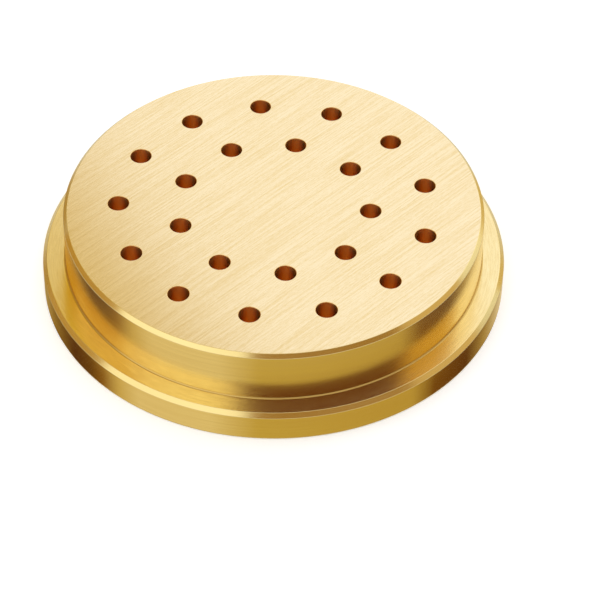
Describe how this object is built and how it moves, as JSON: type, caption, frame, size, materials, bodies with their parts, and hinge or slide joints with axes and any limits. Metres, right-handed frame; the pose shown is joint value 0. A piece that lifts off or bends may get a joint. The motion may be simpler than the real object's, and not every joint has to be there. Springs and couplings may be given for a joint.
{
  "type": "pasta extrusion die",
  "caption": "Flanged brass disc with two rings of round holes, countersunk at the back; clamped at the mouth of a small pasta press, it shapes dough into thick solid strands.",
  "frame": {"origin": "centre of the flat back face, which seats in the press", "axes": "+Z along the turning axis, from the back face towards the exit face"},
  "size_m": [0.057, 0.057, 0.011],
  "materials": {
    "brass": "linear-brushed exit face, fine-turned walls and shoulder"
  },
  "bodies": {
    "root": {"die_body": "brass"}
  },
  "joints": []
}
